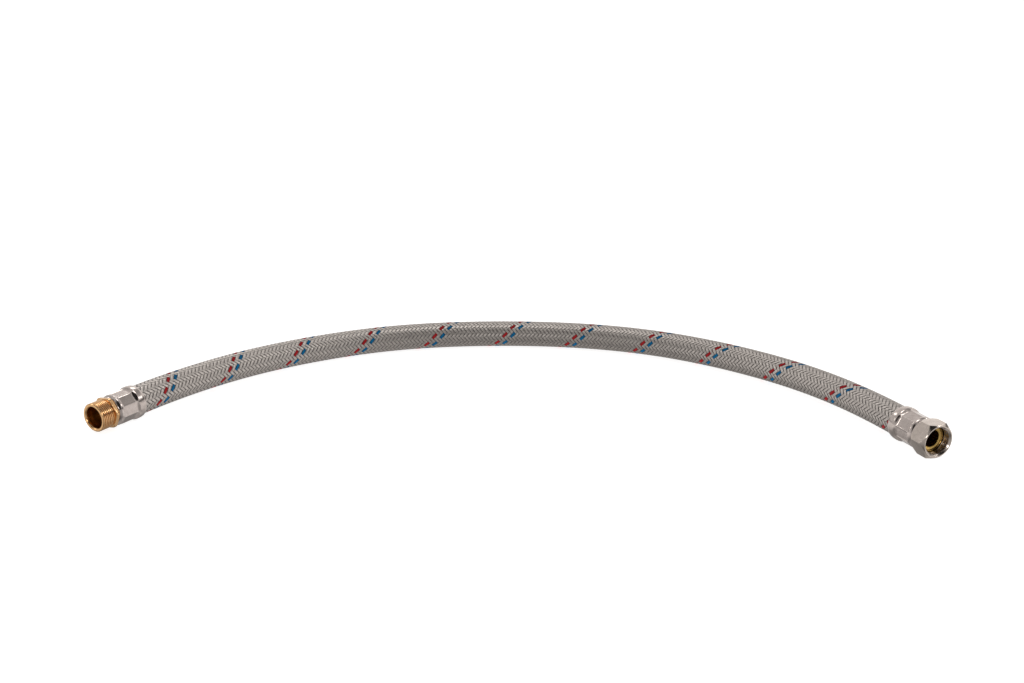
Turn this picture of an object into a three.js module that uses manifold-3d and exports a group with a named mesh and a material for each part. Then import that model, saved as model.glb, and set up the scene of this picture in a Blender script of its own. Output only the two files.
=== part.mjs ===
// Braided flexible connection hose, nominal length 1 m, 3/4 inch male thread on
// one end and a 3/4 inch swivel nut on the other. Millimetres, +Z up, lying on
// the plane z = 0 in one shallow bow. The origin is under the middle of the
// hose's bounding box.
import * as THREE from 'three';
import { mergeVertices } from 'three/addons/utils/BufferGeometryUtils.js';
import Module from 'manifold-3d';

const wasm = await Module();
wasm.setup();

// ---------------------------------------------------------------- dimensions
const HOSE_FLAT_R = 13.75;      // hose outside radius, measured to the flats
const SIDES = 12;               // sides of the hose section
const FLAT = Math.cos(Math.PI / SIDES);
const BRAID_OUT = HOSE_FLAT_R / FLAT;   // corner radii of the hose sections
const BRAID_IN = 13.20;
const BRAID_OUT_CRIMPED = 12.78;        // the same layers squeezed in the crimp
const BRAID_IN_CRIMPED = 12.30;
const LINER_OUT = 12.45;
const LINER_OUT_CRIMPED = 11.60;
const LINER_IN = 9.95;

const THREAD_R = 13.22;         // G 3/4 major radius
const THREAD_LEN = 11.8;
const NIPPLE_BORE_R = 10.0;
const TAIL_BORE_R = 7.75;
const TAIL_R = 8.8;
const BARB_R = 9.25;
const TAIL_END = 46;            // from either mouth plane
const NECK_R = 10.3;
const HEX_M_AF = 27;            // thin hexagon behind the male thread
const HEX_M_FROM = 13.2;
const HEX_M_TO = 16.6;

const NUT_AF = 30;
const NUT_LEN = 17.2;
const NUT_MINOR_R = 12.06;      // G 3/4 female minor radius
const NUT_LIP_FROM = 12.0;      // inner shoulder that pulls on the tailpiece
const NUT_LIP_R = 10.65;
const COLLAR_R = 11.75;         // flange of the tailpiece inside the nut
const COLLAR_FROM = 8.6;
const COLLAR_TO = 11.6;

const FERRULE_LEN = 29.2;
const FERRULE_M_AT = 18.0;      // front of each ferrule, from the mouth plane
const FERRULE_F_AT = 17.6;
const FERRULE_HOLE_R = 10.9;
const FERRULE_WALL = 0.8;
const JAWS = 9;                 // panels pressed into each ferrule
const PANEL_R = 13.9;           // middle of a panel
const RIDGE_R = 14.65;          // ridge between two panels

const HOSE_FROM = 20.8;         // the hose starts this far behind the mouth
const STRAIGHT = 52;            // straight end stretches

// Middle of the two mouths, and the hose's centreline between the two straight
// end stretches, one station every 28 mm.
const MOUTH_M = [-367.072, -113.207, 14.928];
const MOUTH_F = [363.097, -160.196, 15.136];
const ROUTE = [
  [-340.926, -68.258, 16.072], [-326.741, -44.117, 16.222], [-311.937, -20.352, 16.009], [-296.016, 2.676, 15.704],
  [-278.688, 24.663, 15.379], [-259.887, 45.405, 15.029], [-239.654, 64.751, 14.644], [-218.061, 82.567, 14.274],
  [-195.185, 98.700, 14.002], [-171.088, 112.943, 13.848], [-145.845, 125.037, 13.784], [-119.594, 134.749, 13.772],
  [-92.559, 142.002, 13.772], [-65.017, 147.005, 13.772], [-37.194, 150.111, 13.772], [-9.235, 151.555, 13.772],
  [18.759, 151.325, 13.772], [46.680, 149.292, 13.772], [74.387, 145.297, 13.772], [101.706, 139.192, 13.772],
  [128.416, 130.822, 13.772], [154.254, 120.059, 13.772], [178.948, 106.883, 13.784], [202.303, 91.456, 13.848],
  [224.250, 74.080, 14.002], [244.786, 55.056, 14.275], [263.863, 34.570, 14.645], [281.376, 12.731, 15.028],
  [297.215, -10.350, 15.375], [311.283, -34.552, 15.702], [323.594, -59.695, 16.019], [334.484, -85.488, 16.222],
  [344.587, -111.602, 16.072],
];

// ------------------------------------------------------------------- helpers
const V = (a) => new THREE.Vector3(...a);

// Closed position-only geometry with merged corners and outward faces.
function clean(geometry) {
  let g = geometry.clone();
  g.deleteAttribute('normal');
  g.deleteAttribute('uv');
  g = mergeVertices(g, 1e-4);
  const p = g.attributes.position, src = g.index.array, keep = [];
  const a = new THREE.Vector3(), b = new THREE.Vector3(), c = new THREE.Vector3();
  let volume = 0;
  for (let i = 0; i < src.length; i += 3) {
    const [i0, i1, i2] = [src[i], src[i + 1], src[i + 2]];
    if (i0 === i1 || i1 === i2 || i0 === i2) continue;
    a.fromBufferAttribute(p, i0); b.fromBufferAttribute(p, i1); c.fromBufferAttribute(p, i2);
    volume += a.dot(b.clone().cross(c)) / 6;
    keep.push(i0, i1, i2);
  }
  if (volume < 0) for (let i = 0; i < keep.length; i += 3) [keep[i + 1], keep[i + 2]] = [keep[i + 2], keep[i + 1]];
  g.setIndex(keep);
  return g;
}

function solid(geometry) {
  const g = clean(geometry);
  return new wasm.Manifold(new wasm.Mesh({
    numProp: 3,
    vertProperties: new Float32Array(g.attributes.position.array),
    triVerts: new Uint32Array(g.index.array),
  }));
}

function fromSolid(m) {
  const mesh = m.getMesh(), g = new THREE.BufferGeometry(), n = mesh.numProp;
  const pos = new Float32Array(mesh.vertProperties.length / n * 3);
  for (let i = 0; i < pos.length / 3; i++) for (let k = 0; k < 3; k++) pos[3 * i + k] = mesh.vertProperties[n * i + k];
  g.setAttribute('position', new THREE.BufferAttribute(pos, 3));
  g.setIndex(Array.from(mesh.triVerts));
  return g;
}

// A turned piece about +Y: the profile is a list of [radius, height].
const turned = (profile, segments = 28) =>
  new THREE.LatheGeometry(profile.map(([r, y]) => new THREE.Vector2(r, y)), segments);

// A hexagonal bar about +Y with two corners on the X axis.
function hexBar(acrossFlats, from, to) {
  const g = new THREE.CylinderGeometry(acrossFlats / Math.sqrt(3), acrossFlats / Math.sqrt(3), to - from, 6);
  g.rotateY(Math.PI / 6 + Math.PI / 3);
  g.translate(0, (from + to) / 2, 0);
  return g;
}

// Hose fitting frame: +Y runs from the mouth into the hose, +Z is up.
function frameAt(mouth, inward) {
  const y = inward.clone().normalize();
  const x = new THREE.Vector3().crossVectors(y, new THREE.Vector3(0, 0, 1)).normalize();
  const z = new THREE.Vector3().crossVectors(x, y);
  const m = new THREE.Matrix4().makeBasis(x, y, z);
  return { position: mouth, quaternion: new THREE.Quaternion().setFromRotationMatrix(m) };
}

// --------------------------------------------------------------- hose layers
const stations = ROUTE.map(V);
const mouthM = V(MOUTH_M), mouthF = V(MOUTH_F);
const inM = stations[0].clone().sub(mouthM).normalize();
const inF = stations[stations.length - 1].clone().sub(mouthF).normalize();

// Rings of the hose: close together where the crimp squeezes the layers.
const rings = [], squeeze = [];
for (const [a, q] of [[HOSE_FROM, 1], [40.5, 1], [46.5, 0]]) { rings.push(mouthM.clone().addScaledVector(inM, a)); squeeze.push(q); }
for (const s of stations) { rings.push(s); squeeze.push(0); }
for (const [a, q] of [[46.5, 0], [40.1, 1], [HOSE_FROM - 0.4, 1]]) { rings.push(mouthF.clone().addScaledVector(inF, a)); squeeze.push(q); }

// The hose's centreline as a curve that passes through one ring at each step.
class HoseLine extends THREE.Curve {
  getPoint(t, target = new THREE.Vector3()) {
    const n = rings.length - 1, i = Math.min(Math.max(Math.round(t * n), 0), n);
    return target.copy(rings[i]);
  }
  getPointAt(u, target) { return this.getPoint(u, target); }
  getTangent(t, target = new THREE.Vector3()) {
    const n = rings.length - 1, i = Math.min(Math.max(Math.round(t * n), 0), n);
    return target.subVectors(rings[Math.min(i + 1, n)], rings[Math.max(i - 1, 0)]).normalize();
  }
  getTangentAt(u, target) { return this.getTangent(u, target); }
}

function polygon(radius, path) {
  for (let i = 0; i <= SIDES; i++) {
    const a = ((i % SIDES) + 0.5) / SIDES * 2 * Math.PI, x = radius * Math.cos(a), y = radius * Math.sin(a);
    if (i === 0) path.moveTo(x, y); else path.lineTo(x, y);
  }
  return path;
}

// A hose layer between two corner radii, with other radii inside the crimps.
function hoseLayer(rOut, rIn, rOutCrimped, rInCrimped) {
  const shape = polygon(rOut, new THREE.Shape());
  shape.holes.push(polygon(rIn, new THREE.Path()));
  const g = new THREE.ExtrudeGeometry(shape, { steps: rings.length - 1, extrudePath: new HoseLine(), bevelEnabled: false });
  const p = g.attributes.position, v = new THREE.Vector3(), d = new THREE.Vector3();
  for (let i = 0; i < p.count; i++) {
    v.fromBufferAttribute(p, i);
    let k = 0, best = Infinity;
    rings.forEach((c, j) => { const q = c.distanceToSquared(v); if (q < best) { best = q; k = j; } });
    if (!squeeze[k]) continue;
    d.subVectors(v, rings[k]);
    const r = d.length(), outer = Math.abs(r - rOut) < Math.abs(r - rIn);
    v.copy(rings[k]).addScaledVector(d, (outer ? rOutCrimped : rInCrimped) / r);
    p.setXYZ(i, v.x, v.y, v.z);
  }
  return clean(g);
}

const braidSleeve = hoseLayer(BRAID_OUT, BRAID_IN, BRAID_OUT_CRIMPED, BRAID_IN_CRIMPED);
const linerTube = hoseLayer(LINER_OUT, LINER_IN, LINER_OUT_CRIMPED, LINER_IN);

// ------------------------------------------------------------------ fittings
// Barbed tail that the liner is pushed over, outside profile from the neck on.
function tail(from) {
  const out = [[TAIL_R, from]];
  for (const b of [25, 31, 37]) out.push([TAIL_R, b], [BARB_R, b + 0.4], [BARB_R, b + 1.2], [TAIL_R, b + 3.6]);
  out.push([BARB_R, 42.0], [BARB_R, 42.8], [TAIL_R - 0.3, TAIL_END]);
  return out;
}

// Male end: threaded spigot, thin hexagon, neck and tail turned from one bar.
const nippleBody = solid(turned([
  [NIPPLE_BORE_R, 0], [12.25, 0], [THREAD_R, 1.2], [THREAD_R, THREAD_LEN], [12.1, THREAD_LEN + 0.6], [12.1, HEX_M_TO - 0.2],
  [NECK_R, HEX_M_TO - 0.2], [NECK_R, 20.2], ...tail(20.2),
  [TAIL_BORE_R, TAIL_END], [TAIL_BORE_R, 16.4], [NIPPLE_BORE_R, 14.2], [NIPPLE_BORE_R, 0],
]));
const nippleHex = solid(hexBar(HEX_M_AF, HEX_M_FROM, HEX_M_TO))
  .intersect(solid(turned([[0, HEX_M_FROM - 1], [13.3, HEX_M_FROM - 1], [13.9, HEX_M_FROM], [15.0, HEX_M_FROM + 0.8],
    [15.0, HEX_M_TO - 0.7], [14.0, HEX_M_TO], [13.4, HEX_M_TO + 1], [0, HEX_M_TO + 1]])))
  .subtract(solid(turned([[0, HEX_M_FROM - 2], [11.2, HEX_M_FROM - 2], [11.2, HEX_M_TO + 2], [0, HEX_M_TO + 2]])));
const maleNipple = fromSolid(nippleBody.add(nippleHex));

// Nut end: tailpiece with a flange that the nut pulls on.
const tailpiece = clean(turned([
  [8.25, COLLAR_FROM], [COLLAR_R - 0.4, COLLAR_FROM], [COLLAR_R, COLLAR_FROM + 0.4], [COLLAR_R, COLLAR_TO], [NECK_R, COLLAR_TO],
  [NECK_R, 19.8], ...tail(19.8), [TAIL_BORE_R, TAIL_END], [TAIL_BORE_R, COLLAR_FROM + 0.5], [8.25, COLLAR_FROM],
]));

// Swivel nut: hexagon with both ends turned to a cone, threaded bore, inner lip.
const swivelNut = fromSolid(
  solid(hexBar(NUT_AF, 0, NUT_LEN))
    .intersect(solid(turned([[0, -1], [13.65, -1], [14.4, 0], [18.6, 5.6], [18.6, NUT_LEN - 5.07], [14.8, NUT_LEN], [14.05, NUT_LEN + 1], [0, NUT_LEN + 1]], 36)))
    .subtract(solid(turned([[0, -1], [14.36, -1], [13.36, 0], [NUT_MINOR_R, 1.3], [NUT_MINOR_R, 7.6], [13.3, 8.0], [13.3, NUT_LIP_FROM],
      [NUT_LIP_R, NUT_LIP_FROM], [NUT_LIP_R, NUT_LEN + 1], [0, NUT_LEN + 1]], 36))));

// Ferrule: pressed steel sleeve with an in-turned front, JAWS pressed panels
// and a round collar left full size at the braid side. Profile entries are
// [radius, distance from the front, how far the press reached, is inside].
const FERRULE_PROFILE = [
  [FERRULE_HOLE_R, 0, 0, 0], [12.9, 0, 0, 0], [14.05, 0.5, 0, 0], [14.5, 1.7, 0, 0], [14.5, 4.0, 0, 0], [14.5, 5.4, 1, 0],
  [14.5, 18.0, 1, 0], [14.8, 19.6, 0.72, 0], [15.35, 21.2, 0.28, 0], [15.75, 23.0, 0, 0], [15.8, 25.6, 0, 0], [15.5, 28.0, 0, 0], [15.0, FERRULE_LEN, 0, 0],
  [14.6, FERRULE_LEN, 0, 1], [15.0, 27.2, 0, 1], [15.0, 23.3, 0, 1], [14.55, 21.2, 0.3, 1], [14.0, 18.6, 1, 1],
  [14.0, 5.2, 1, 1], [13.7, 3.8, 0, 1], [13.5, 1.4, 0, 1], [FERRULE_HOLE_R, 1.2, 0, 1], [FERRULE_HOLE_R, 0, 0, 0],
];
function ferrule(phase) {
  const per = 4, g = turned(FERRULE_PROFILE.map(([r, y]) => [r, y]), JAWS * per);
  g.rotateY(phase);
  const p = g.attributes.position, rows = FERRULE_PROFILE.length;
  for (let i = 0; i < p.count; i++) {
    const [r, , reach, inside] = FERRULE_PROFILE[i % rows];
    if (!reach) continue;
    const x = p.getX(i), z = p.getZ(i), a = Math.atan2(x, z) - phase;
    const step = 2 * Math.PI / JAWS, t = Math.abs(((a / step) % 1 + 1.5) % 1 - 0.5) * 2;   // 0 on a ridge, 1 mid-panel
    const panel = PANEL_R + (RIDGE_R - PANEL_R) * Math.pow(1 - t, 2.2) - (inside ? FERRULE_WALL : 0);
    const k = (r + (panel - r) * reach) / r;
    p.setX(i, x * k); p.setZ(i, z * k);
  }
  return clean(g);
}
const deg = Math.PI / 180;

// --------------------------------------------------------------------- scene
const material = (color, roughness, metalness) => new THREE.MeshStandardMaterial({ color, roughness, metalness });
const object = new THREE.Group();
object.name = 'braided_hose';

const atM = frameAt(mouthM, inM), atF = frameAt(mouthF, inF);
function place(name, geometry, mat, at, offset = 0) {
  const mesh = new THREE.Mesh(geometry, mat);
  mesh.name = name;
  if (at) {
    mesh.position.copy(at.position).add(new THREE.Vector3(0, offset, 0).applyQuaternion(at.quaternion));
    mesh.quaternion.copy(at.quaternion);
  }
  object.add(mesh);
  return mesh;
}
place('braid_sleeve', braidSleeve, material(0xa8a4a0, 0.45, 0.9));
place('liner_tube', linerTube, material(0x1b1b1b, 0.8, 0.0));
place('male_nipple', maleNipple, material(0xb98a4a, 0.32, 1.0), atM);
place('ferrule_male_end', ferrule(-22 * deg + Math.PI / 2), material(0xc4c0bc, 0.2, 1.0), atM, FERRULE_M_AT);
place('tailpiece', tailpiece, material(0xb98a4a, 0.35, 1.0), atF);
place('swivel_nut', swivelNut, material(0xb9ada2, 0.28, 1.0), atF);
place('ferrule_nut_end', ferrule(-(180 - 9.2) * deg + Math.PI / 2), material(0xc4c0bc, 0.2, 1.0), atF, FERRULE_F_AT);

export default object;
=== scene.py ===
import math

import bmesh
import bpy
import numpy as np
from mathutils import Matrix, Vector


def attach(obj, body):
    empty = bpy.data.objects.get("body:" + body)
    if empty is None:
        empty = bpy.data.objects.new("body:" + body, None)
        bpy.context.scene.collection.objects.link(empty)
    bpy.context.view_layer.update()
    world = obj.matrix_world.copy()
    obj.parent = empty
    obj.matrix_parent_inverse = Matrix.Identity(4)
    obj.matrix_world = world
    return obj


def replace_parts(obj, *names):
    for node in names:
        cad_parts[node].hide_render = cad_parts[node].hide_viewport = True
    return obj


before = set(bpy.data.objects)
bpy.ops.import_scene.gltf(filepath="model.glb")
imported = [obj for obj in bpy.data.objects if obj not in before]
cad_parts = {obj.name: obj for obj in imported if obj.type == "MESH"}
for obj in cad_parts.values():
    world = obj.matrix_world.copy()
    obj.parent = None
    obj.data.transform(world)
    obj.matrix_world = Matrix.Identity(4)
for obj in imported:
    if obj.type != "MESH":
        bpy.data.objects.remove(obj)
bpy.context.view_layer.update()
scene = bpy.context.scene
scene.view_settings.view_transform = "Standard"
scene.view_settings.look = "None"
MM = 0.001

# ------------------------------------------------------------------- camera
# Row frame, metres: 0.38 m above the surface, looking along +Y and 17.4 degrees down.
PITCH, ROLL, FOCAL_PX = math.radians(17.448), math.radians(-0.268), 1119.8
cam_data = bpy.data.cameras.new("camera")
cam_data.sensor_width = 36.0
cam_data.lens = FOCAL_PX / 1024 * 36.0
cam_data.shift_x = -0.5 / 1024
cam_data.shift_y = 0.5 / 1024
cam_data.clip_start, cam_data.clip_end = 0.05, 400.0
camera = bpy.data.objects.new("camera", cam_data)
scene.collection.objects.link(camera)
forward = Vector((0, math.cos(PITCH), -math.sin(PITCH)))
side, lift = Vector((1, 0, 0)), Vector((0, math.sin(PITCH), math.cos(PITCH)))
right = math.cos(ROLL) * side - math.sin(ROLL) * lift
up = math.sin(ROLL) * side + math.cos(ROLL) * lift
basis = Matrix((right, up, -forward)).transposed().to_4x4()
camera.matrix_world = Matrix.Translation((0.003126, -1.037208, 0.37765)) @ basis
scene.camera = camera

# -------------------------------------------------- centreline, as in the CAD
MOUTH_M = np.array([-0.367072, -0.113207, 0.014928])
MOUTH_F = np.array([0.363097, -0.160196, 0.015136])
ROUTE = np.array([
    [-340.926, -68.258, 16.072], [-326.741, -44.117, 16.222], [-311.937, -20.352, 16.009], [-296.016, 2.676, 15.704],
    [-278.688, 24.663, 15.379], [-259.887, 45.405, 15.029], [-239.654, 64.751, 14.644], [-218.061, 82.567, 14.274],
    [-195.185, 98.700, 14.002], [-171.088, 112.943, 13.848], [-145.845, 125.037, 13.784], [-119.594, 134.749, 13.772],
    [-92.559, 142.002, 13.772], [-65.017, 147.005, 13.772], [-37.194, 150.111, 13.772], [-9.235, 151.555, 13.772],
    [18.759, 151.325, 13.772], [46.680, 149.292, 13.772], [74.387, 145.297, 13.772], [101.706, 139.192, 13.772],
    [128.416, 130.822, 13.772], [154.254, 120.059, 13.772], [178.948, 106.883, 13.784], [202.303, 91.456, 13.848],
    [224.250, 74.080, 14.002], [244.786, 55.056, 14.275], [263.863, 34.570, 14.645], [281.376, 12.731, 15.028],
    [297.215, -10.350, 15.375], [311.283, -34.552, 15.702], [323.594, -59.695, 16.019], [334.484, -85.488, 16.222],
    [344.587, -111.602, 16.072],
]) * MM
LENGTH, STRAIGHT, STEP = 1000.0, 52.0, 28.0      # millimetres along the hose


def unit(v):
    return v / np.linalg.norm(v, axis=-1, keepdims=True)


IN_M = unit(ROUTE[0] - MOUTH_M)
IN_F = unit(ROUTE[-1] - MOUTH_F)


def spline_slopes(points, first, last, h):
    """Slopes at the stations of the smooth curve through them (cubic, both end slopes given)."""
    n = len(points)
    a = np.zeros((n, n))
    b = np.zeros((n, 3))
    a[0, 0] = a[-1, -1] = 1.0
    b[0], b[-1] = first, last
    for i in range(1, n - 1):
        a[i, i - 1], a[i, i], a[i, i + 1] = 1.0, 4.0, 1.0
        b[i] = 3.0 * (points[i + 1] - points[i - 1]) / h
    return np.linalg.solve(a, b)


SLOPES = spline_slopes(ROUTE, IN_M * MM, -IN_F * MM, STEP)


def on_curve(s):
    """Points of the centreline at the distances s (mm) from the male mouth."""
    s = np.asarray(s, float)
    q = np.clip((s - STRAIGHT) / STEP, 0, len(ROUTE) - 1 - 1e-9)
    i = q.astype(int)
    t = (q - i)[:, None]
    p0, p1, m0, m1 = ROUTE[i], ROUTE[i + 1], SLOPES[i] * STEP, SLOPES[i + 1] * STEP
    p = (2 * t**3 - 3 * t**2 + 1) * p0 + (t**3 - 2 * t**2 + t) * m0 + (3 * t**2 - 2 * t**3) * p1 + (t**3 - t**2) * m1
    p = np.where((s < STRAIGHT)[:, None], MOUTH_M + IN_M * s[:, None] * MM, p)
    return np.where((s > LENGTH - STRAIGHT)[:, None], MOUTH_F + IN_F * (LENGTH - s)[:, None] * MM, p)


# A table of centre, camera-side direction and upper direction every 0.25 mm.
TAB_S = np.arange(0.0, LENGTH + 0.01, 0.25)
TAB_C = on_curve(TAB_S)
tangent = unit(np.gradient(TAB_C, axis=0))
TAB_H = unit(np.cross(tangent, np.array([0.0, 0.0, 1.0])))
TAB_V = np.cross(TAB_H, tangent)


def tab(table, s):
    return np.stack([np.interp(s, TAB_S, table[:, k]) for k in range(3)], -1)


def on_hose(s, theta, radius):
    """Row-frame points: s along the hose (mm), theta from the camera side upwards (radians), radius (mm)."""
    return tab(TAB_C, s) + (radius * MM)[..., None] * (
        np.cos(theta)[..., None] * tab(TAB_H, s) + np.sin(theta)[..., None] * tab(TAB_V, s))


def smooth(x):
    x = np.clip(x, 0.0, 1.0)
    return x * x * (3 - 2 * x)


def pinch(s):
    """How far in the crimps press the hose's outside, in mm."""
    end = np.minimum(s, LENGTH - s)
    return 0.95 * smooth((46.6 - end) / 6.0)


# ------------------------------------------------------------- mesh helpers
def link(name, verts, quads, smooth_shade=True, sharp=None):
    """A mesh object in the row frame from arrays of points (m) and quads or other faces."""
    mesh = bpy.data.meshes.new(name)
    verts = np.asarray(verts, np.float32).reshape(-1, 3)
    faces = [np.asarray(f, np.int32) for f in quads]
    sizes = np.concatenate([np.full(len(f), f.shape[1], np.int32) for f in faces])
    loops = np.concatenate([f.ravel() for f in faces])
    mesh.vertices.add(len(verts))
    mesh.vertices.foreach_set("co", verts.ravel())
    mesh.loops.add(len(loops))
    mesh.loops.foreach_set("vertex_index", loops)
    mesh.polygons.add(len(sizes))
    mesh.polygons.foreach_set("loop_start", np.concatenate([[0], np.cumsum(sizes)[:-1]]).astype(np.int32))
    mesh.update(calc_edges=True)
    mesh.validate()
    mesh.polygons.foreach_set("use_smooth", np.full(len(mesh.polygons), smooth_shade))
    if sharp is not None:
        bm = bmesh.new()
        bm.from_mesh(mesh)
        for e in bm.edges:
            if len(e.link_faces) == 2 and e.calc_face_angle(0.0) > math.radians(sharp):
                e.smooth = False
        bm.to_mesh(mesh)
        bm.free()
    mesh.update()
    obj = bpy.data.objects.new(name, mesh)
    scene.collection.objects.link(obj)
    return obj


def put_values(obj, name, values):
    """A number at each vertex, which the material reads."""
    made = obj.data.attributes.new(name, "FLOAT", "POINT")
    made.data.foreach_set("value", np.asarray(values, np.float32).ravel())


def put_vectors(obj, name, values):
    made = obj.data.attributes.new(name, "FLOAT_VECTOR", "POINT")
    made.data.foreach_set("vector", np.asarray(values, np.float32).ravel())


def ring_grid(rows, cols, wrap_rows):
    """Quads of a grid whose columns close round; the rows close too if wrap_rows."""
    i = np.arange(rows if wrap_rows else rows - 1)[:, None]
    j = np.arange(cols)[None, :]
    i1, j1 = (i + 1) % rows, (j + 1) % cols
    quads = np.stack(np.broadcast_arrays(i * cols + j, i * cols + j1, i1 * cols + j1, i1 * cols + j), -1)
    return quads.reshape(-1, 4)


class Fitting:
    """Frame at one mouth: +Y from the mouth into the hose, +X level, +Z up."""

    def __init__(self, mouth, inward):
        self.o, self.y = mouth, inward
        self.x = unit(np.cross(inward, np.array([0.0, 0.0, 1.0])))
        self.z = np.cross(self.x, self.y)

    def turned(self, name, rows, angles, sharp=32.0, bore=(0.0, 0.0)):
        """One closed ring-shaped solid. rows is a list of (radius, distance from the mouth), each a number or one
        value for each angle; the last row joins the first. angles go from +X towards +Z. bore is the radius within
        which the metal is dull, and how deep that starts."""
        n = len(angles)
        r = np.array([np.broadcast_to(np.asarray(q[0], float), n) for q in rows])
        a = np.array([np.broadcast_to(np.asarray(q[1], float), n) for q in rows])
        c, s = np.cos(angles)[None], np.sin(angles)[None]
        lx, lz = r * c, r * s
        p = self.o + MM * (lx[..., None] * self.x + a[..., None] * self.y + lz[..., None] * self.z)
        quads = ring_grid(len(rows), n, True)
        v = p.reshape(-1, 3) - self.o
        q0, q1, q2, q3 = (v[quads[:, k]] for k in range(4))
        volume = (q0 * np.cross(q1, q2)).sum() + (q0 * np.cross(q2, q3)).sum()
        if volume < 0:
            quads = quads[:, ::-1]
        obj = link(name, p, [quads], sharp=sharp)
        put_vectors(obj, "turned", np.stack([lx, a, lz], -1).reshape(-1, 3))
        put_values(obj, "around", np.broadcast_to(angles[None], r.shape))
        put_values(obj, "bore", smooth((bore[0] - r) / 0.3) * smooth((a - bore[1]) / 2.5))
        return obj


at_m = Fitting(MOUTH_M, IN_M)
at_f = Fitting(MOUTH_F, IN_F)
DEG = math.pi / 180


def hex_radius(angles, across, corner, turn):
    """Outline of a hexagon with rounded corners; a corner lies at angle turn (radians)."""
    d = np.abs((angles - turn + math.pi / 6) % (math.pi / 3) - math.pi / 6)     # 0 at a corner, 30 degrees mid-flat
    flat = across / 2 / np.cos(math.pi / 6 - d)
    far = (across / 2 - corner) / math.cos(math.pi / 6)
    arc = far * np.cos(d) + np.sqrt(np.maximum(corner**2 - (far * np.sin(d)) ** 2, 0))
    edge = math.atan2(corner / 2, far + corner * math.cos(math.pi / 6))
    return np.where(d < edge, arc, flat)


def hex_angles(turn, every):
    """Angles for a hexagonal piece: even steps, and close together at the corners."""
    near = np.array([-0.95, -0.55, -0.28, 0.0, 0.28, 0.55, 0.95])
    even = np.arange(3.0, 57.1, every)
    one = np.concatenate([near, even])
    return np.sort(np.concatenate([turn + (60 * k + one) * DEG for k in range(6)]))


PITCH_G = 1.814      # G 3/4 thread


def thread(a, angles, minor, major):
    """Radius of a right-hand thread with broad flat crests and narrow rounded roots."""
    t = (a / PITCH_G + angles / (2 * math.pi)) % 1.0
    d = np.abs(2 * t - 1)                              # 0 on the crest, 1 in the root
    return major - (major - minor) * smooth((d - 0.52) / 0.42)


# ---------------------------------------------------------------- materials
def material(name, color, rough, metal, **more):
    m = bpy.data.materials.new(name)
    m.use_nodes = True
    b = m.node_tree.nodes["Principled BSDF"]
    b.inputs["Base Color"].default_value = (*color, 1)
    b.inputs["Roughness"].default_value = rough
    b.inputs["Metallic"].default_value = metal
    for k, v in more.items():
        b.inputs[k].default_value = v
    m.diffuse_color = (*color, 1)
    return m, m.node_tree, b


def node(tree, kind, **values):
    n = tree.nodes.new(kind)
    for k, v in values.items():
        if k in n.inputs:
            n.inputs[k].default_value = v
        else:
            setattr(n, k, v)
    return n


def attribute(tree, name):
    return node(tree, "ShaderNodeAttribute", attribute_name=name)


def noise(tree, vector, scale, detail=2.0, rough=0.5):
    n = node(tree, "ShaderNodeTexNoise", Scale=scale, Detail=detail, Roughness=rough)
    tree.links.new(vector, n.inputs["Vector"])
    return n.outputs["Fac"]


def ramp(tree, fac, stops):
    n = node(tree, "ShaderNodeValToRGB")
    e = n.color_ramp.elements
    while len(e) < len(stops):
        e.new(0.5)
    for el, (pos, c) in zip(e, stops):
        el.position = pos
        el.color = (*c, 1) if len(c) == 3 else c
    tree.links.new(fac, n.inputs["Fac"])
    return n.outputs["Color"]


def spread(tree, fac, low, high, lo_in=0.3, hi_in=0.7):
    n = node(tree, "ShaderNodeMapRange")
    n.inputs["From Min"].default_value, n.inputs["From Max"].default_value = lo_in, hi_in
    n.inputs["To Min"].default_value, n.inputs["To Max"].default_value = low, high
    tree.links.new(fac, n.inputs["Value"])
    return n.outputs["Result"]


def maths(tree, op, a, b=None):
    n = node(tree, "ShaderNodeMath", operation=op)
    for k, v in enumerate((a, b)):
        if v is None:
            continue
        if isinstance(v, (int, float)):
            n.inputs[k].default_value = v
        else:
            tree.links.new(v, n.inputs[k])
    return n.outputs[0]


def scaled(tree, vector, factors):
    n = node(tree, "ShaderNodeVectorMath", operation="MULTIPLY")
    tree.links.new(vector, n.inputs[0])
    n.inputs[1].default_value = factors
    return n.outputs[0]


def bump(tree, bsdf, height, strength, distance):
    n = node(tree, "ShaderNodeBump", Strength=strength, Distance=distance)
    tree.links.new(height, n.inputs["Height"])
    tree.links.new(n.outputs["Normal"], bsdf.inputs["Normal"])


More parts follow.
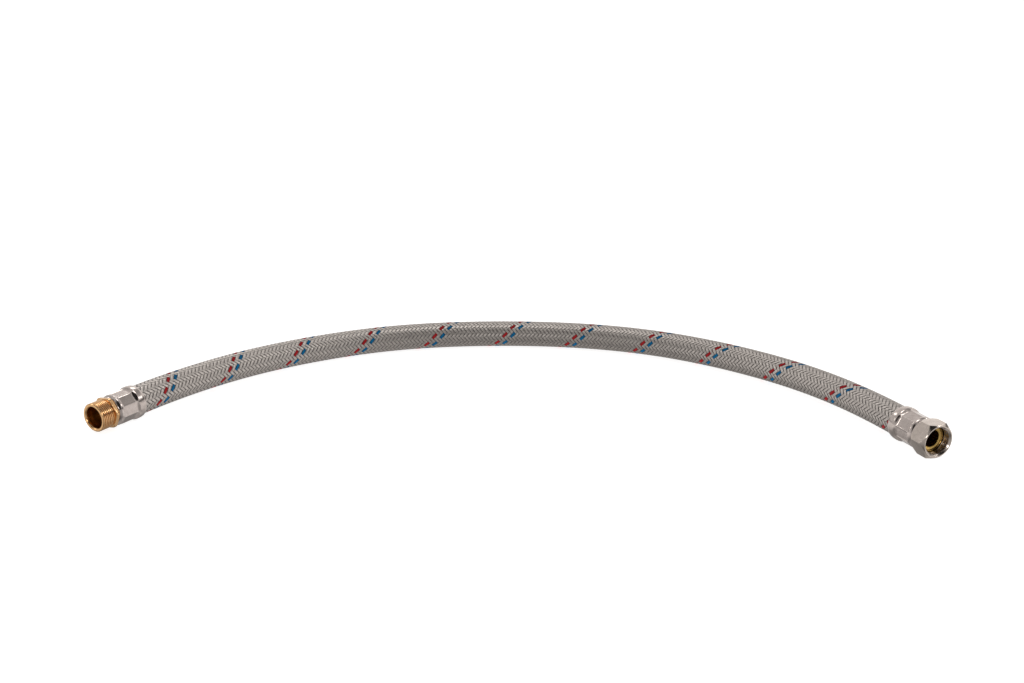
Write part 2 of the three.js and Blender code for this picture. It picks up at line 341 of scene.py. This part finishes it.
def strand_material(name, dark, light, rough, metal, shade, gloss=0.5):
    """A flat bundle of wires or yarn: fine lines along it, and each length a little lighter or darker. Its edges, and
    the lengths that pass under another strand, are darkened with painted shade, down to shade times the colour."""
    m, t, b = material(name, light, rough, metal)
    b.inputs["Specular IOR Level"].default_value = gloss
    across, along = attribute(t, "across").outputs["Fac"], attribute(t, "along").outputs["Vector"]
    dip = attribute(t, "dip").outputs["Fac"]
    tone = noise(t, along, 0.35, 3.0, 0.6)
    color = ramp(t, tone, [(0.3, dark), (0.7, light)])
    # Painted shade: the colour darkens towards the strand's edges and where it passes under another strand.
    edge = spread(t, maths(t, "ABSOLUTE", across), 0.0, 1.0, 0.60, 1.0)
    painted_shade = maths(t, "MAXIMUM", maths(t, "MULTIPLY", edge, 0.45), dip)
    mix = node(t, "ShaderNodeMix", data_type="RGBA")
    t.links.new(painted_shade, mix.inputs["Factor"])
    t.links.new(color, mix.inputs[6])
    t.links.new(ramp(t, tone, [(0.3, tuple(shade * c for c in dark)), (0.7, tuple(shade * c for c in light))]), mix.inputs[7])
    t.links.new(mix.outputs[2], b.inputs["Base Color"])
    t.links.new(spread(t, noise(t, along, 1.7, 1.0), rough - 0.07, rough + 0.07), b.inputs["Roughness"])
    lines = maths(t, "ABSOLUTE", maths(t, "SINE", maths(t, "MULTIPLY", across, 3 * math.pi)))
    grain = noise(t, scaled(t, along, (0.6, 9.0, 9.0)), 2.0, 2.0)
    bump(t, b, maths(t, "ADD", maths(t, "MULTIPLY", lines, 0.7), maths(t, "MULTIPLY", grain, 0.5)), 0.35, 0.00006)
    return m


def metal_material(name, dark, light, rough, ring_bump, grain_scale=(14.0, 14.0, 14.0), dull=None):
    """Turned or pressed metal: soft clouding, fine lines left by the tool and a lightly uneven gloss. dull is its
    colour deep in a bore, where it is darker and rougher."""
    m, t, b = material(name, light, rough, 1.0)
    at = attribute(t, "turned").outputs["Vector"]
    cloud = noise(t, at, 0.22, 4.0, 0.55)
    color = ramp(t, cloud, [(0.32, dark), (0.68, light)])
    fine = noise(t, scaled(t, at, grain_scale), 1.0, 2.0, 0.6)
    gloss = spread(t, fine, rough * 0.8, rough * 1.3)
    # Darker and rougher from a given depth into the bore.
    if dull:
        inside = attribute(t, "bore").outputs["Fac"]
        bore_tone = ramp(t, cloud, [(0.32, tuple(0.75 * c for c in dull)), (0.68, dull)])
        mix = node(t, "ShaderNodeMix", data_type="RGBA")
        t.links.new(inside, mix.inputs["Factor"])
        t.links.new(color, mix.inputs[6])
        t.links.new(bore_tone, mix.inputs[7])
        color = mix.outputs[2]
        gloss = maths(t, "ADD", gloss, maths(t, "MULTIPLY", inside, 0.15))
    t.links.new(color, b.inputs["Base Color"])
    t.links.new(gloss, b.inputs["Roughness"])
    dents = noise(t, at, 0.45, 2.0, 0.5)
    bump(t, b, maths(t, "ADD", maths(t, "MULTIPLY", fine, ring_bump), maths(t, "MULTIPLY", dents, 0.9)), 0.5, 0.00012)
    return m


# The last number of each strand material is how dark its painted shade goes.
steel_wire = strand_material("braid", (0.49, 0.452, 0.43), (0.70, 0.65, 0.615), 0.42, 0.9, 0.30)
red_yarn = strand_material("tracer_red", (0.265, 0.010, 0.013), (0.405, 0.018, 0.022), 0.65, 0.0, 0.35, 0.12)
blue_yarn = strand_material("tracer_blue", (0.001, 0.085, 0.212), (0.003, 0.148, 0.315), 0.65, 0.0, 0.35, 0.12)
brass = metal_material("raw_brass", (0.72, 0.43, 0.20), (0.82, 0.52, 0.27), 0.17, 0.25, (1.5, 26.0, 1.5), (0.52, 0.28, 0.09))
seat_brass = metal_material("seat_brass", (0.70, 0.46, 0.14), (0.82, 0.57, 0.20), 0.22, 0.2, (1.5, 26.0, 1.5), (0.40, 0.22, 0.07))
ferrule_steel = metal_material("ferrule_steel", (0.56, 0.495, 0.465), (0.66, 0.59, 0.56), 0.15, 0.14)
nickel = metal_material("nickel_plate", (0.60, 0.53, 0.48), (0.70, 0.62, 0.565), 0.17, 0.18, (3.0, 22.0, 3.0))

backing, bt, bb = material("under_braid", (0.05, 0.045, 0.042), 0.75, 0.0)
co = node(bt, "ShaderNodeTexCoord").outputs["Object"]
bt.links.new(ramp(bt, noise(bt, co, 900.0, 2.0), [(0.35, (0.035, 0.032, 0.03)), (0.65, (0.075, 0.068, 0.062))]),
             bb.inputs["Base Color"])
bump(bt, bb, noise(bt, co, 2500.0, 2.0), 0.3, 0.00008)

rubber, rt, rb = material("liner", (0.012, 0.012, 0.013), 0.6, 0.0)
co = node(rt, "ShaderNodeTexCoord").outputs["Object"]
rt.links.new(ramp(rt, noise(rt, co, 300.0, 3.0), [(0.3, (0.008, 0.008, 0.009)), (0.7, (0.02, 0.02, 0.021))]),
             rb.inputs["Base Color"])
rt.links.new(spread(rt, noise(rt, co, 1200.0, 1.0), 0.5, 0.7), rb.inputs["Roughness"])
bump(rt, rb, noise(rt, co, 1600.0, 2.0), 0.25, 0.0001)


def dress(obj, mat):
    obj.data.materials.clear()
    obj.data.materials.append(mat)


# ------------------------------------------- hose: tube under the braid (cord)
TUBE_FROM, TUBE_TO = 21.0, 979.2
TUBE_R, TUBE_IN = 13.14, 12.62
ring_s = np.concatenate([np.arange(TUBE_FROM, 50, 2.0), np.arange(50, 950, 6.0), np.arange(950, TUBE_TO + 0.01, 2.0)])
ring_s[-1] = TUBE_TO
SEG = 26
ang = np.arange(SEG) / SEG * 2 * math.pi


def tube_rows(radius):
    s = np.repeat(ring_s[:, None], SEG, 1)
    return on_hose(s, np.broadcast_to(ang, s.shape), radius - pinch(s))


outer, inner = tube_rows(TUBE_R), tube_rows(TUBE_IN)[::-1]
tube_points = np.concatenate([outer, inner]).reshape(-1, 3)
tube = link("hose_tube", tube_points, [ring_grid(2 * len(ring_s), SEG, True)[:, ::-1]], sharp=60)
dress(tube, backing)
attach(tube, "hose")
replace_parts(tube, "braid_sleeve")

# ---------------------------------------------------- hose: the woven strands
HELIX = 79.752                 # one turn of a strand along the hose, mm
S0, TH0 = 75.56, 12.42         # the middle of one red dash: mm from the male mouth, degrees from the camera side
CROSS = HELIX / 36             # from one crossing to the next, along the hose
SLANT = math.atan2(2 * math.pi * 13.6, HELIX)
WIDE = 2.86                    # width of a strand
WIRES = 6
MID_R, RISE = 13.42, 0.22
TOP = np.array([(-0.085, 0.125)[i % 2] for i in range(2 * WIRES + 1)])
TOP[2:-1:2] = 0.055
CROWN = -0.17 * np.abs(np.linspace(-1, 1, 2 * WIRES + 1)) ** 2.2
SECTION_H = TOP + CROWN
SECTION_W = np.linspace(-0.5, 0.5, 2 * WIRES + 1) * WIDE
SECTION_W[0] += 0.10
SECTION_W[-1] -= 0.10
TRACER_WIDER = 1.07            # the coloured yarns spread a little more than the wires
BRAID_FROM, BRAID_TO = 21.6, 978.6
RED, BLUE = (1, 0), (1, 16)    # which strands are the coloured yarns

# The braid was pulled on a little unevenly: how far each stretch has slid (mm) and turned (degrees).
PULL_S = np.arange(-40.0, 1041.0, 5.0)
PULL_AT = [0, 80, 160, 240, 320, 400, 480, 560, 640, 722, 800, 880, 1000]
PULL_SLID = [-3.0, -2.5, -1.7, -0.75, 0.55, 1.85, 1.5, 0.9, -0.4, -1.6, -1.7, -0.5, 0.8]
PULL_TURN = [6.5, 6.3, 5.0, 3.8, 3.4, 0.3, -1.8, -3.3, -2.2, -1.2, -2.7, -1.7, -1.0]


def evened(values):
    """The values at PULL_S, joined smoothly."""
    line = np.interp(PULL_S, PULL_AT, values)
    window = np.hanning(13)
    return np.convolve(np.pad(line, 6, mode="edge"), window / window.sum(), mode="valid")


SLID, TURNED = evened(PULL_SLID), evened(PULL_TURN)


def strand(family, number):
    """Points of one strand: family +1 climbs the camera side with s, family -1 falls. Over two, under two."""
    lo = math.ceil((BRAID_FROM + 1.2 - np.interp(BRAID_FROM, PULL_S, SLID) - S0) / CROSS + 0.5)
    hi = math.floor((BRAID_TO - 1.2 - np.interp(BRAID_TO, PULL_S, SLID) - S0) / CROSS + 0.5)
    steps = np.array([0.05, 0.95, 1.35, 1.65, 2.05, 2.95, 3.35, 3.65])
    if family > 0:
        first = -2 * number                                    # where n + 2 number is a multiple of 4
        n = np.arange(lo - 8, hi + 8)
        n = n[(n + 2 * number) % 4 == 0][:, None] + steps
        n = n.ravel()
        u = n + 2 * number
    else:
        n = np.arange(lo - 8, hi + 8)
        n = n[(2 * number - n) % 4 == 0][:, None] - steps
        n = np.sort(n.ravel())
        u = 2 * number - n
    n = n[(n >= lo) & (n <= hi)]
    u = n + 2 * number if family > 0 else 2 * number - n
    s = S0 + CROSS * (n - 0.5)
    wave = np.cos(2 * math.pi * (u - (0.5 if family > 0 else 2.5)) / 4)
    height = np.tanh(4 * wave) / math.tanh(4)
    turn = 360 * (s - S0) / HELIX
    theta = (TH0 + 20 * number + turn) if family > 0 else (TH0 - 10 + 20 * number - turn)
    theta = (theta + np.interp(s, PULL_S, TURNED)) * DEG
    s = s + np.interp(s, PULL_S, SLID)
    width = SECTION_W * (TRACER_WIDER if (family, number) in (RED, BLUE) else 1.0)
    ss = s[:, None] - family * width[None] * math.sin(SLANT)
    tt = theta[:, None] + width[None] * math.cos(SLANT) / 13.6
    rr = MID_R + RISE * height[:, None] + SECTION_H[None] - pinch(ss)
    return on_hose(ss, tt, rr), s, np.clip(0.5 - 0.5 * height, 0, 1)


def braid_piece(name, members, mat):
    """Several strands as one piece, with a map that lays each strand out in eight rows, and its ends in the last row."""
    pts, faces4, ends, across, along, dips, uv4, uv_ends = [], [], [], [], [], [], [], []
    base, cols = 0, 2 * WIRES + 1
    per, total = 8, 8 * len(members) + 1
    for k, (family, number) in enumerate(members):
        p, s, dip = strand(family, number)
        m = len(p)
        q = ring_grid(m, cols, False) + base
        i, j = np.divmod(np.arange(len(q)), cols)
        one = math.ceil((m - 1) / per)
        row = i // one
        u0, u1 = (0.002 + 0.996 * (i - row * one + e) / one for e in (0, 1))
        v0, v1 = ((per * k + row + 0.07 + 0.86 * (j + e) / cols) / total for e in (0, 1))
        uv = np.stack([np.stack([u0, v0], -1), np.stack([u0, v1], -1), np.stack([u1, v1], -1), np.stack([u1, v0], -1)], 1)
        if family < 0:
            q, uv = q[:, ::-1], uv[:, ::-1]
        faces4.append(q)
        uv4.append(uv)
        tip = np.arange(cols)
        a, b = tip[None, :] + base, tip[None, ::-1] + base + (m - 1) * cols
        ends.append(np.concatenate([a, b]) if family < 0 else np.concatenate([a[:, ::-1], b[:, ::-1]]))
        round_tip = np.stack([np.cos(tip / cols * 2 * math.pi), np.sin(tip / cols * 2 * math.pi)], -1) * 0.35 / total
        for e in (0, 1):
            middle = np.array([(2 * k + e + 0.5) / (2 * len(members)), (total - 0.5) / total])
            uv_ends.append(middle + round_tip)
        pts.append(p.reshape(-1, 3))
        across.append(np.broadcast_to(np.linspace(-1, 1, cols), (m, cols)).ravel())
        dips.append(np.repeat(dip, cols))
        length = s / math.cos(SLANT) + 37.0 * number + (500.0 if family < 0 else 0.0)
        along.append(np.stack(np.broadcast_arrays(length[:, None], SECTION_W[None], 3.1 * number), -1).reshape(-1, 3))
        base += m * cols
    obj = link(name, np.concatenate(pts), [np.concatenate(faces4), np.concatenate(ends)])
    flat = obj.data.uv_layers.new(name="OFBake")
    flat.data.foreach_set("uv", np.concatenate([np.concatenate(uv4).ravel(), np.concatenate(uv_ends).ravel()]).astype(np.float32))
    put_values(obj, "across", np.concatenate(across))
    # dip: how far the strand lies under the crossing one; the material paints shade there.
    put_values(obj, "dip", np.concatenate(dips))
    put_vectors(obj, "along", np.concatenate(along))
    dress(obj, mat)
    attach(obj, "hose")
    return obj


climbing = [(1, j) for j in range(18) if (1, j) not in (RED, BLUE)]
falling = [(-1, l) for l in range(18)]
steel = climbing + falling
for k in range(5):
    group = steel[k::5]
    piece = braid_piece(f"braid_strands_{k + 1}", group, steel_wire)
red = braid_piece("tracer_red", [RED], red_yarn)
blue = braid_piece("tracer_blue", [BLUE], blue_yarn)

# ------------------------------------------------------- male nipple (brass)
TAIL_R, BARB_R, TAIL_END, TAIL_BORE = 8.8, 9.25, 46.0, 7.75


def tail_rows(start):
    rows = [(TAIL_R, start)]
    for b in (25, 31, 37):
        rows += [(TAIL_R, b), (BARB_R, b + 0.4), (BARB_R, b + 1.2), (TAIL_R, b + 3.6)]
    return rows + [(TAIL_R, 41.6), (BARB_R, 42.0), (BARB_R, 42.8), (TAIL_R - 0.2, TAIL_END - 0.3), (TAIL_R - 0.5, TAIL_END)]


hex_turn = 7 * DEG
angles = hex_angles(hex_turn, 2.7)
hexm = hex_radius(angles, 27.0, 0.35, hex_turn)
rows = [(10.0, 0.95), (10.05, 0.85), (10.68, 0.12), (10.78, 0.02), (10.95, 0.0), (12.45, 0.0), (12.6, 0.05)]
for a in np.arange(0.15, 12.31, 0.1396):
    front = 12.7 + (a - 0.1) * 1.0
    back = 12.1 + max(0.0, 12.3 - a) * 1.6
    rows.append((np.minimum(np.minimum(thread(a, angles, 12.06, 13.22), front), back), a))
rows += [(12.1, 12.5), (12.1, 13.1), (12.25, 13.2)]
lim_f, lim_b = 13.65, 13.6
rows += [(np.minimum(lim_f, hexm - 0.1), 13.2),
         (np.minimum(np.minimum(hexm, 15.0) - 0.03, 14.9), 13.2 + np.maximum(np.minimum(hexm, 15.0) - lim_f, 0.06) * 0.42),
         (np.minimum(hexm, 15.0), 13.26 + np.maximum(np.minimum(hexm, 15.0) - lim_f, 0.06) * 0.42),
         (np.minimum(hexm, 15.0), 16.54 - np.maximum(np.minimum(hexm, 15.0) - lim_b, 0.06) * 0.42),
         (np.minimum(np.minimum(hexm, 15.0) - 0.03, 14.9), 16.6 - np.maximum(np.minimum(hexm, 15.0) - lim_b, 0.06) * 0.42),
         (np.minimum(lim_b, hexm - 0.1), 16.6),
         (10.5, 16.6), (10.3, 16.75), (10.3, 20.2)]
rows += tail_rows(20.2) + [(TAIL_BORE + 0.4, TAIL_END), (TAIL_BORE, TAIL_END - 0.4), (TAIL_BORE, 30), (TAIL_BORE, 16.5), (7.9, 16.3), (9.9, 14.3), (10.0, 14.1), (10.0, 8)]
nipple = at_m.turned("male_nipple_turned", rows, angles, sharp=34, bore=(10.9, 0.4))
dress(nipple, brass)
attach(nipple, "hose")
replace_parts(nipple, "male_nipple")

# ------------------------------------------------------------------ ferrules
RIDGE_STEPS = np.array([0, 0.7, 1.4, 2.2, 3.2, 4.6, 6.6, 9.2, 12.4, 16.0])
JAW_ANGLES = np.concatenate([RIDGE_STEPS, 40 - RIDGE_STEPS[:0:-1], [20.0]])
JAW_ANGLES.sort()


def between(x, xs, ys):
    """Smooth steps between the given values."""
    i = np.clip(np.searchsorted(xs, x) - 1, 0, len(xs) - 2)
    t = smooth((x - xs[i]) / (xs[i + 1] - xs[i]))
    return ys[i] + (ys[i + 1] - ys[i]) * t


def ferrule(name, at, start, ridge):
    angles = np.sort(np.concatenate([ridge + 40 * k + JAW_ANGLES for k in range(9)])) * DEG
    off = (np.degrees(angles) - ridge) % 40
    off = np.minimum(off, 40 - off)                     # degrees from the nearest ridge
    t = off / 20
    flat = 1 / np.cos((20 - off) * DEG) - 1             # 0 in the middle of a panel
    panel = 13.74 * (1 + 0.85 * flat) + 0.22 * np.exp(-(off / 2.2) ** 2)

    def reach(u, late):
        front = smooth((u - 3.9) / 1.5)
        back = 1 - smooth((u - (17.1 + late)) / 4.5)
        return front * back

    def base(u):
        return np.interp(u, [0, 4.2, 17.5, 19.4, 20.6, 21.6, 22.8, 24.2, 26.2, 27.6, 28.6, 29.0, 29.2],
                         [14.5, 14.5, 14.55, 14.75, 15.15, 15.5, 15.74, 15.8, 15.76, 15.6, 15.34, 15.16, 14.95])

    late = 0.9 * (t ** 0.7)                             # the jaws bite further back in the middle of a panel
    rows = [(10.9, start + 1.1), (10.9, start + 0.35), (11.0, start + 0.12), (11.2, start), (12.1, start),
            (12.45, start + 0.07), (12.75, start + 0.26), (13.1, start + 0.66), (13.5, start + 1.2), (13.87, start + 1.76),
            (14.17, start + 2.3), (14.36, start + 2.8), (14.46, start + 3.25), (14.49, start + 3.6)]
    us = np.concatenate([np.arange(3.8, 5.7, 0.27), [7.5, 10, 12.5, 15, 16.4], np.arange(17.0, 23.6, 0.36),
                         [24.2, 25.2, 26.2, 27.0, 27.6, 28.1, 28.6, 28.9, 29.1, 29.2]])
    for u in us:
        k = reach(u, late)
        rows.append((base(u) + (panel - base(u)) * k, start + u))
    rows += [(14.75, start + 29.24), (14.5, start + 29.2), (14.42, start + 29.0), (14.5, start + 28.6), (14.85, start + 27.4), (15.0, start + 26.0), (15.0, start + 23.3)]
    for u in (21.4, 20.0, 18.6, 12.0, 5.2, 4.4):
        k = reach(u, late)
        rows.append((base(u) + (panel - base(u)) * k - 0.78, start + u))
    rows += [(13.6, start + 3.2), (13.3, start + 2.2), (12.75, start + 1.4), (12.1, start + 1.1)]
    obj = at.turned(name, rows, angles, sharp=42)
    dress(obj, ferrule_steel)
    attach(obj, "hose")
    return obj


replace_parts(ferrule("ferrule_pressed_male_end", at_m, 18.0, 22.0), "ferrule_male_end")
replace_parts(ferrule("ferrule_pressed_nut_end", at_f, 17.6, 170.8), "ferrule_nut_end")

# ----------------------------------------------------- tailpiece (in the nut)
angles = np.arange(96) / 96 * 2 * math.pi
rows = [(7.84, 8.66), (7.95, 8.58), (9.6, 8.3), (11.55, 7.95), (11.66, 7.97), (11.74, 8.05), (11.75, 8.2), (11.75, 11.45), (11.65, 11.6),
        (10.3, 11.6), (10.3, 19.8)] + tail_rows(19.8) + [
        (TAIL_BORE + 0.4, TAIL_END), (TAIL_BORE, TAIL_END - 0.4), (TAIL_BORE, 30), (TAIL_BORE, 9.0), (7.77, 8.8)]
tailpiece = at_f.turned("tailpiece_turned", rows, angles, sharp=34, bore=(7.95, 8.7))
dress(tailpiece, seat_brass)
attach(tailpiece, "hose")
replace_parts(tailpiece, "tailpiece")

# ---------------------------------------------------------------- swivel nut
angles = hex_angles(0.0, 2.7)
hexf = hex_radius(angles, 30.0, 0.4, 0.0)
front_a = (hexf - 14.4) / 0.95
back_a = 17.2 - (hexf - 14.8) / 0.741
rows = [(13.42, 0.04), (13.55, 0.0), (14.1, 0.0), (14.28, 0.03), (14.4, 0.12)]
for k in (0.25, 0.5, 0.75, 0.93):
    rows.append((14.4 + (hexf - 14.4) * k, 0.12 + front_a * k))
rows += [(hexf - 0.02, 0.12 + front_a), (hexf, 0.3 + front_a), (hexf, 6.5), (hexf, 10.5), (hexf, back_a - 0.3), (hexf - 0.02, back_a - 0.12)]
for k in (0.93, 0.75, 0.5, 0.25):
    rows.append((14.8 + (hexf - 14.8) * k, 17.08 - (17.2 - back_a) * k))
rows += [(14.8, 17.06), (14.68, 17.16), (14.5, 17.2), (10.95, 17.2), (10.75, 17.13), (10.65, 16.95), (10.65, 12.25), (10.75, 12.05),
         (10.9, 12.0), (13.1, 12.0), (13.3, 11.8), (13.3, 8.5)]
for a in np.arange(8.3, 0.2, -0.1396):
    runout = 12.06 + max(0.0, a - 7.2) * 1.3
    lead = 13.40 - (a - 0.05) * 1.02
    rows.append((np.maximum(np.maximum(25.28 - thread(a, angles, 12.06, 13.22), runout), lead), a))
nut = at_f.turned("swivel_nut_turned", rows, angles, sharp=30)
dress(nut, nickel)
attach(nut, "nut")
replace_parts(nut, "swivel_nut")

# ------------------------------------------- the liner stays as the CAD has it
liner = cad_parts["liner_tube"]
dress(liner, rubber)

# ------------------------------------------------------------ floor and light
def stage_disc(name, radii, height):
    """Rings of points round the origin, each at its own radius and height, joined into a disc or a bowl."""
    n = 96
    points = [(0.0, 0.0, height(0.0))]
    for r in radii:
        points += [(r[0] * math.cos(k / n * 2 * math.pi), r[0] * math.sin(k / n * 2 * math.pi), height(r[1])) for k in range(n)]
    faces = [(0, 1 + k, 1 + (k + 1) % n) for k in range(n)]
    for ring in range(len(radii) - 1):
        b0, b1 = 1 + ring * n, 1 + (ring + 1) * n
        faces += [(b0 + k, b1 + k, b1 + (k + 1) % n, b0 + (k + 1) % n) for k in range(n)]
    mesh = bpy.data.meshes.new(name)
    mesh.from_pydata(points, [], faces)
    obj = bpy.data.objects.new(name, mesh)
    scene.collection.objects.link(obj)
    return obj


# A white floor that stays white far away, where the lamps don't reach. Its gloss side is left to the room below.
floor = stage_disc("floor", [(0.8, 0), (3.0, 0), (12.0, 0), (60.0, 0)], lambda h: 0.0)
floor_mat, ft, fb = material("floor", (0.6, 0.6, 0.6), 0.7, 0.0)
co = node(ft, "ShaderNodeTexCoord").outputs["Object"]
ft.links.new(ramp(ft, noise(ft, co, 3.0, 2.0), [(0.3, (0.595, 0.595, 0.595)), (0.7, (0.605, 0.605, 0.605))]), fb.inputs["Base Color"])
fb.inputs["Specular IOR Level"].default_value = 0.0
fb.inputs["Emission Color"].default_value = (1, 1, 1, 1)
away = node(ft, "ShaderNodeVectorMath", operation="LENGTH")
ft.links.new(co, away.inputs[0])
ft.links.new(spread(ft, away.outputs["Value"], 0.85, 1.02, 0.6, 1.9), fb.inputs["Emission Strength"])
dress(floor, floor_mat)
floor.visible_glossy = False

# White paper all round, which only the camera sees, so that low views have no grey sky.
paper = stage_disc("paper", [(70.0 * math.sin(t * 0.1), 70.0 * math.cos(t * 0.1)) for t in range(1, 17)], lambda h: h or 70.0)
paper_mat, pt, pb = material("paper", (0.9, 0.9, 0.9), 1.0, 0.0)
pb.inputs["Specular IOR Level"].default_value = 0.0
pb.inputs["Emission Color"].default_value = (1, 1, 1, 1)
pb.inputs["Emission Strength"].default_value = 1.02
dress(paper, paper_mat)
for kind in ("diffuse", "glossy", "transmission", "volume_scatter", "shadow"):
    setattr(paper, "visible_" + kind, False)

# The room, as the metal sees it: pale at the horizon, grey overhead and below, darker on the camera's side.
world = bpy.data.worlds.new("studio")
scene.world = world
world.use_nodes = True
wt = world.node_tree
bg = wt.nodes["Background"]
way = node(wt, "ShaderNodeSeparateXYZ")
wt.links.new(node(wt, "ShaderNodeTexCoord").outputs["Generated"], way.inputs[0])
wx, wy, wz = way.outputs
WARM = np.array([1.0, 0.975, 0.95])
ROOM = [(-1.0, 0.45), (-0.75, 0.27), (-0.60, 0.40), (-0.48, 0.66), (-0.30, 0.86), (-0.10, 0.93), (0.12, 0.93), (0.40, 0.86),
        (0.60, 0.76), (0.80, 0.64), (1.0, 0.60)]
sky = ramp(wt, spread(wt, wz, 0.0, 1.0, -1.0, 1.0), [((z + 1) / 2, tuple(WARM * level)) for z, level in ROOM])


def darker(amount, *edges):
    """1 outside a region of directions and 1 - amount within it; an edge is a coordinate, where it starts and is full."""
    out = None
    for of, start, full in edges:
        f = spread(wt, of, 0.0, 1.0, start, full) if start < full else spread(wt, of, 1.0, 0.0, full, start)
        out = f if out is None else maths(wt, "MULTIPLY", out, f)
    return maths(wt, "SUBTRACT", 1.0, maths(wt, "MULTIPLY", out, amount))


wide = maths(wt, "ABSOLUTE", wx)
regions = [
    darker(0.50, (wy, -0.25, -0.60), (wide, 0.90, 0.60)),
    darker(0.96, (wy, -0.16, -0.32), (wz, 0.02, 0.12), (wz, 1.00, 0.94), (wx, -0.08, 0.04), (wx, 0.75, 0.55)),
    darker(0.93, (wy, -0.16, -0.32), (wz, 0.02, 0.12), (wz, 1.00, 0.94), (wx, -0.75, -0.60), (wx, -0.25, -0.38)),
    darker(0.45, (wx, 0.10, 0.30), (wz, 0.55, 0.65), (wy, -0.10, 0.10)),
    darker(0.85, (wx, 0.68, 0.80), (wz, 0.06, 0.13), (wz, 0.37, 0.30)),
    darker(0.32, (wx, -0.45, -0.65), (wz, -0.2, 0.0)),
    darker(-0.12, (wx, 0.02, 0.25), (wy, 0.60, 0.78), (wz, 0.10, 0.25)),
    darker(-0.65, (wx, 0.20, 0.42), (wz, -0.42, -0.60)),
]
strength = regions[0]
for r in regions[1:]:
    strength = maths(wt, "MULTIPLY", strength, r)
wt.links.new(sky, bg.inputs["Color"])
wt.links.new(strength, bg.inputs["Strength"])


def softbox(name, place, target, size, radiance, color=(1.0, 0.98, 0.95)):
    """A lamp with a square front: size in metres, radiance against white paper at 1."""
    data = bpy.data.lights.new(name, "AREA")
    data.shape = "RECTANGLE"
    data.size, data.size_y = size
    data.energy = 4 * size[0] * size[1] * radiance
    data.color = color
    obj = bpy.data.objects.new(name, data)
    scene.collection.objects.link(obj)
    obj.location = place
    obj.rotation_mode = "QUATERNION"
    obj.rotation_quaternion = (Vector(target) - Vector(place)).to_track_quat("-Z", "Y")
    obj.visible_camera = False
    return obj


softbox("light_back_key", (-0.42, 0.583, 0.745), (-0.36, -0.1, 0.015), (0.28, 0.25), 1.9)
softbox("light_over", (0.12, 0.12, 1.8), (0.1, 0.1, 0), (0.75, 0.6), 1.8)
softbox("light_right", (1.42, 0.22, 0.98), (-0.2, 0, 0), (0.5, 0.22), 3.0)
softbox("light_right_high", (1.35, -0.3, 1.25), (0.3, -0.1, 0), (0.4, 0.4), 2.6)
softbox("light_left", (-1.65, 0.0, 0.92), (-0.1, 0, 0), (0.4, 0.4), 2.2)
softbox("light_front", (-0.15, -1.75, 0.46), (0, 0, 0), (0.4, 0.35), 3.4)
